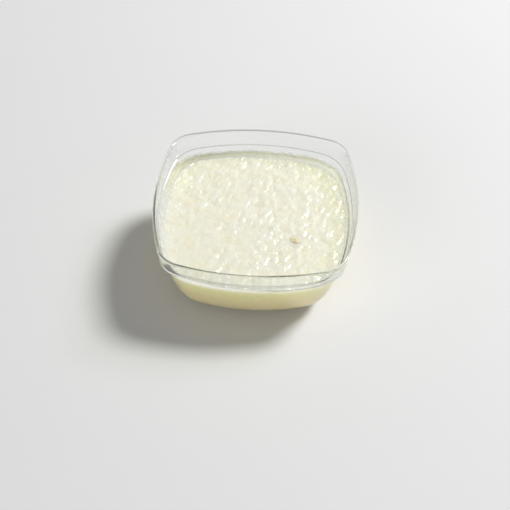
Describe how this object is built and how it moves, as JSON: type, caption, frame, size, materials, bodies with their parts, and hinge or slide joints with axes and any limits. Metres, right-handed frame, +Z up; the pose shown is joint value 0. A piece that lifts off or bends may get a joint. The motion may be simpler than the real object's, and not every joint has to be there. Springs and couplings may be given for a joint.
{
  "type": "bowl of milk pudding",
  "caption": "Clear plastic dessert bowl, a rounded square with a clip band at its rim, filled to below the band with pale, lumpy mastic milk pudding.",
  "frame": {"origin": "middle of the underside of the foot ring, where the bowl stands", "axes": "+Z up out of the open mouth; the four bulging sides face +X, -X, +Y and -Y, and -Y is the side towards the viewer"},
  "size_m": [0.108, 0.108, 0.046],
  "materials": {
    "clear_plastic": "clear, polished, colourless",
    "pudding": "cream milk pudding, wet and softly lumpy"
  },
  "bodies": {
    "root": {"bowl": "clear_plastic", "pudding": "pudding"}
  },
  "joints": []
}
